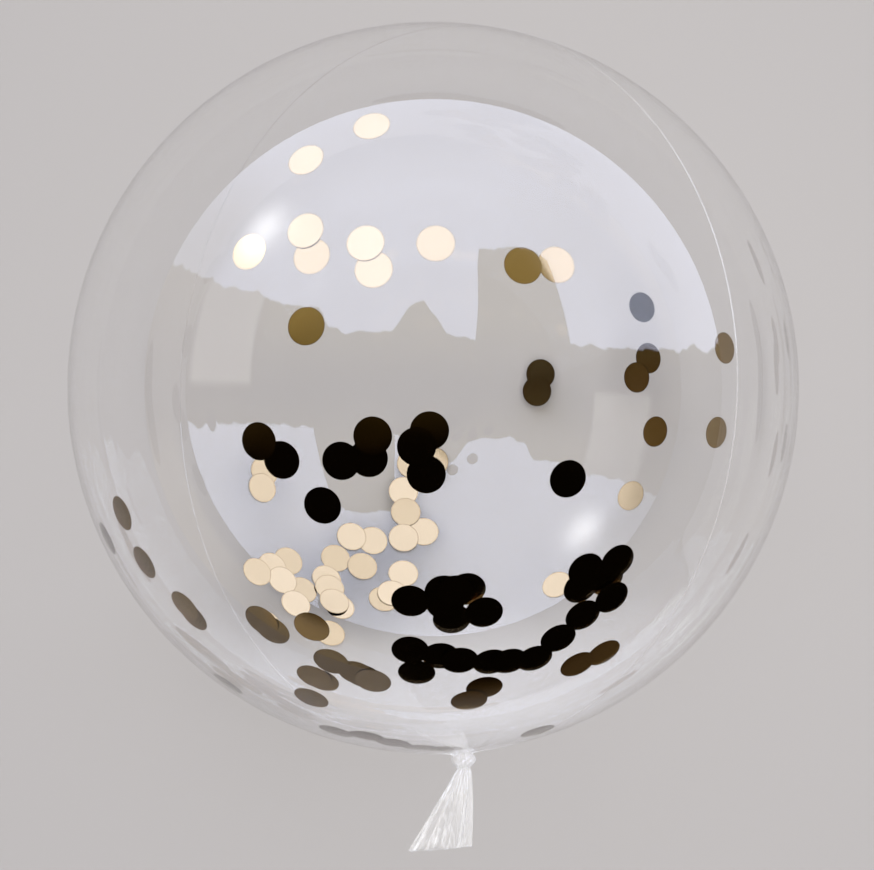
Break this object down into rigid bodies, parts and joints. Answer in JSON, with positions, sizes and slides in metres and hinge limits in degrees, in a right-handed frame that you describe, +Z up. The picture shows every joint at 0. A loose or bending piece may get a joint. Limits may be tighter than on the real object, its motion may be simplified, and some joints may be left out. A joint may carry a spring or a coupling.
{
  "type": "clear bubble balloon",
  "caption": "Blown-up clear bubble balloon of stretch film, tied at its neck, with loose round gold foil confetti sealed inside.",
  "frame": {"origin": "centre of the small flat spot that the ball rests on", "axes": "+Z up from the floor, -Y on the neck's side, where the neck points 6.3 degrees above level, +X to the right when seen from above with the neck at the bottom"},
  "size_m": [0.56, 0.6316, 0.5569],
  "materials": {
    "clear_film": "thin clear stretch film, glossy, with a faint haze",
    "gold_foil": "mirror-bright gold foil, the confetti inside"
  },
  "bodies": {
    "root": {"film_envelope": "clear_film"}
  },
  "joints": []
}
